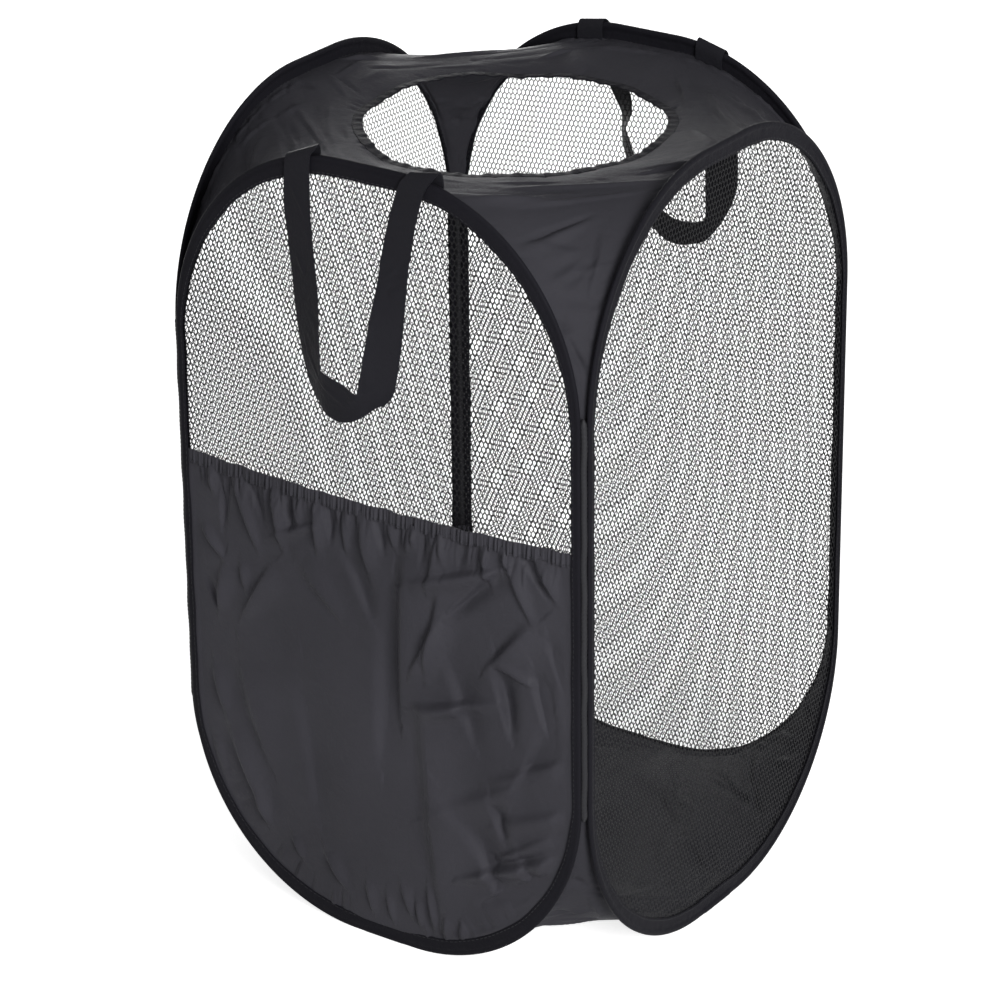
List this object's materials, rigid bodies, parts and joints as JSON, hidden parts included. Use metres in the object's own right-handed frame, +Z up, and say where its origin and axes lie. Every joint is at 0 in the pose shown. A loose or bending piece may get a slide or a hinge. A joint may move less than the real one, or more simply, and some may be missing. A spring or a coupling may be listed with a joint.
{
  "type": "pop up laundry hamper",
  "caption": "Tall square laundry hamper of net panels on sprung wire loops, with a round mouth, a gathered front pocket and carrying straps. Folds flat.",
  "frame": {"origin": "on the floor under the middle of the hamper", "axes": "+Z up, -Y towards the pocket side, +X to the right seen from the pocket side"},
  "size_m": [0.3616, 0.3968, 0.611],
  "materials": {
    "spring_steel": "bright drawn spring wire and crimped steel tube",
    "binding_tape": "near black plain woven polyester tape, folded and stitched",
    "net": "black knitted polyester net with small hexagonal holes",
    "thread": "black sewing thread",
    "strap": "black folded polyester strap, soft sheen",
    "pocket_cloth": "charcoal thin woven polyester, gathered, soft sheen",
    "cover_cloth": "charcoal thin woven polyester with soft creases"
  },
  "bodies": {
    "front_panel": {"front_wire": "spring_steel", "front_ferrule": "spring_steel", "front_binding": "binding_tape", "front_net": "net", "front_handle_left_tab": "strap", "front_handle_right_tab": "strap", "pocket": "pocket_cloth", "pocket_hem": "pocket_cloth", "front_right_seam": "thread", "front_left_seam": "thread", "top_cover": "cover_cloth", "mouth_hem": "binding_tape", "bottom_cover": "cover_cloth"},
    "right_panel": {"right_wire": "spring_steel", "right_ferrule": "spring_steel", "right_binding": "binding_tape", "right_net": "net", "back_right_seam": "thread"},
    "back_panel": {"back_wire": "spring_steel", "back_ferrule": "spring_steel", "back_binding": "binding_tape", "back_net": "net", "back_handle_left_tab": "strap", "back_handle_right_tab": "strap"},
    "left_panel": {"left_wire": "spring_steel", "left_ferrule": "spring_steel", "left_binding": "binding_tape", "left_net": "net", "back_left_seam": "thread"},
    "front_handle": {"front_handle": "strap"},
    "back_handle": {"back_handle": "strap"}
  },
  "joints": [
    {"name": "right_fold", "type": "hinge", "parent": "front_panel", "child": "right_panel", "pos_m": [0.1754, -0.1754, 0.305], "axis": [0, 0, 1], "range_deg": [-88, 88], "stiffness_Nm_per_rad": 0.1, "deforming": ["top_cover", "mouth_hem", "bottom_cover"]},
    {"name": "left_fold", "type": "hinge", "parent": "front_panel", "child": "left_panel", "pos_m": [-0.1754, -0.1754, 0.305], "axis": [0, 0, 1], "range_deg": [-88, 88], "deforming": ["top_cover", "mouth_hem", "bottom_cover"]},
    {"name": "back_fold", "type": "hinge", "parent": "right_panel", "child": "back_panel", "pos_m": [0.1754, 0.1754, 0.305], "axis": [0, 0, 1], "range_deg": [-88, 88], "deforming": ["top_cover", "mouth_hem", "bottom_cover"]},
    {"name": "front_handle_swing", "type": "hinge", "parent": "front_panel", "child": "front_handle", "pos_m": [-0.01005, -0.1808, 0.60756], "axis": [-0.9994, 0, -0.0339], "range_deg": [0, 180]},
    {"name": "back_handle_swing", "type": "hinge", "parent": "back_panel", "child": "back_handle", "pos_m": [0.01005, 0.1808, 0.60756], "axis": [0.9994, 0, -0.0339], "range_deg": [0, 180]}
  ],
  "couplings": [
    {"joint": "left_fold", "follows": "right_fold", "ratio": 1},
    {"joint": "back_fold", "follows": "right_fold", "ratio": -1}
  ]
}
